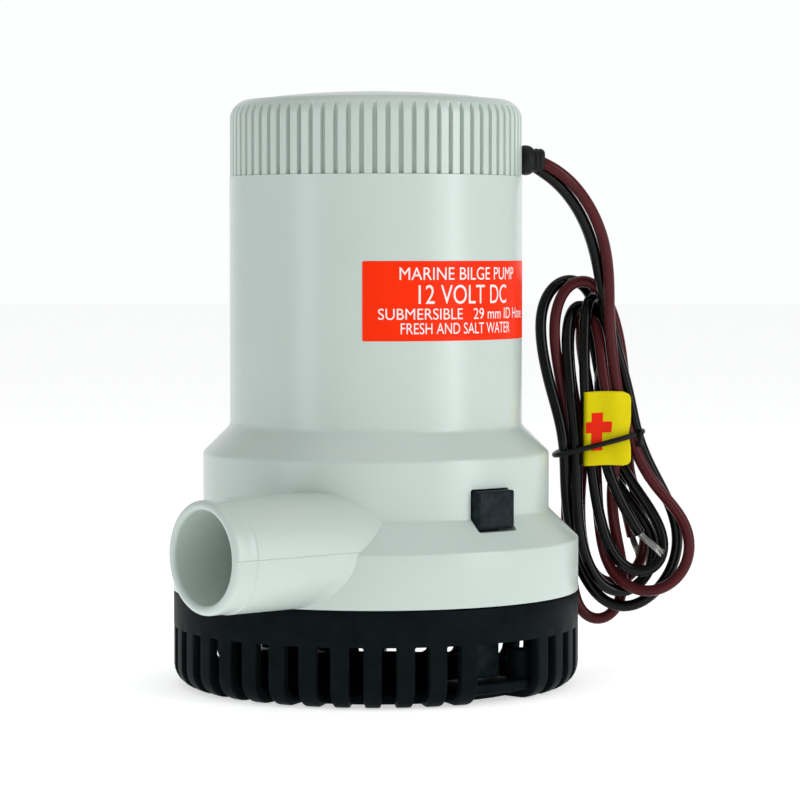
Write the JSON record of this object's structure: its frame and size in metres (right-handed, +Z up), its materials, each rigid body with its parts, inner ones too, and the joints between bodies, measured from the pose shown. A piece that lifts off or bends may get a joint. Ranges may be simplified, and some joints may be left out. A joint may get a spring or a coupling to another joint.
{
  "type": "bilge pump",
  "caption": "Submersible electric bilge pump: round motor housing with a side outlet, on a slotted strainer base held by two latches, with a two-wire lead in a tied hank.",
  "frame": {"origin": "on the pump's axis, on the face that the strainer base stands on", "axes": "+Z up along the pump's axis; -Y the way the outlet points; latch buttons at +X and -X"},
  "size_m": [0.108, 0.1661, 0.1575],
  "materials": {
    "housing_grey": "light warm grey moulded plastic, satin",
    "cap_grey": "light grey moulded plastic, satin",
    "strainer_black": "black moulded plastic, semi-matt",
    "latch_black": "black moulded plastic, semi-matt",
    "plate_black": "black moulded plastic",
    "impeller_nylon": "black glass-filled nylon",
    "seal_rubber": "nitrile rubber",
    "gland_rubber": "soft black rubber",
    "mount_rubber": "black rubber",
    "stainless": "stainless steel",
    "can_steel": "zinc-plated steel",
    "bearing_bronze": "sintered bronze",
    "magnet_ferrite": "ferrite, dull dark grey",
    "core_steel": "stacked steel laminations",
    "winding_copper": "enamelled copper",
    "card_brown": "phenolic board",
    "brush_carbon": "carbon graphite",
    "label_orange": "printed orange-red vinyl",
    "wire_brown_pvc": "brown PVC insulation",
    "wire_black_pvc": "black PVC insulation",
    "tie_black": "black plastic-covered twist tie",
    "tag_yellow": "yellow printed paper",
    "tinned_copper": "tinned copper strands"
  },
  "bodies": {
    "pump_body": {"pump_housing": "housing_grey", "top_cap": "cap_grey", "strainer_base": "strainer_black", "volute_plate": "plate_black", "cap_seal": "seal_rubber", "shaft_seal_lower": "seal_rubber", "shaft_seal_upper": "seal_rubber", "cable_gland": "gland_rubber", "motor_mount_lower": "mount_rubber", "motor_mount_upper": "mount_rubber", "plate_screw_1": "stainless", "plate_screw_2": "stainless", "plate_screw_3": "stainless", "brush_spring_1": "stainless", "brush_spring_2": "stainless", "motor_can": "can_steel", "motor_end_bell": "can_steel", "seal_retainer": "bearing_bronze", "lower_bearing": "bearing_bronze", "upper_bearing": "bearing_bronze", "magnet_front": "magnet_ferrite", "magnet_rear": "magnet_ferrite", "brush_card": "card_brown", "brush_1": "brush_carbon", "brush_2": "brush_carbon", "rating_label": "label_orange", "wire_brown": "wire_brown_pvc", "inner_lead_brown": "wire_brown_pvc", "wire_black": "wire_black_pvc", "inner_lead_black": "wire_black_pvc", "wire_hank": "wire_black_pvc", "hank_tie": "tie_black", "polarity_tag": "tag_yellow", "wire_tip_black": "tinned_copper", "wire_tip_brown": "tinned_copper"},
    "rotor": {"motor_shaft": "stainless", "impeller": "impeller_nylon", "impeller_nut": "stainless", "thrust_washer": "bearing_bronze", "armature_core": "core_steel", "armature_winding": "winding_copper", "commutator": "winding_copper"},
    "latch_right": {"latch_right": "latch_black"},
    "latch_left": {"latch_left": "latch_black"}
  },
  "joints": [
    {"name": "rotor_spin", "type": "hinge", "parent": "pump_body", "child": "rotor", "pos_m": [0, 0, 0.08], "axis": [0, 0, 1], "continuous": true},
    {"name": "latch_right_press", "type": "hinge", "parent": "pump_body", "child": "latch_right", "pos_m": [0.04155, 0, 0.0053], "axis": [0, -1, 0], "range_deg": [0, 3], "stiffness_Nm_per_rad": 4},
    {"name": "latch_left_press", "type": "hinge", "parent": "pump_body", "child": "latch_left", "pos_m": [-0.04155, 0, 0.0053], "axis": [0, 1, 0], "range_deg": [0, 3], "stiffness_Nm_per_rad": 4}
  ]
}
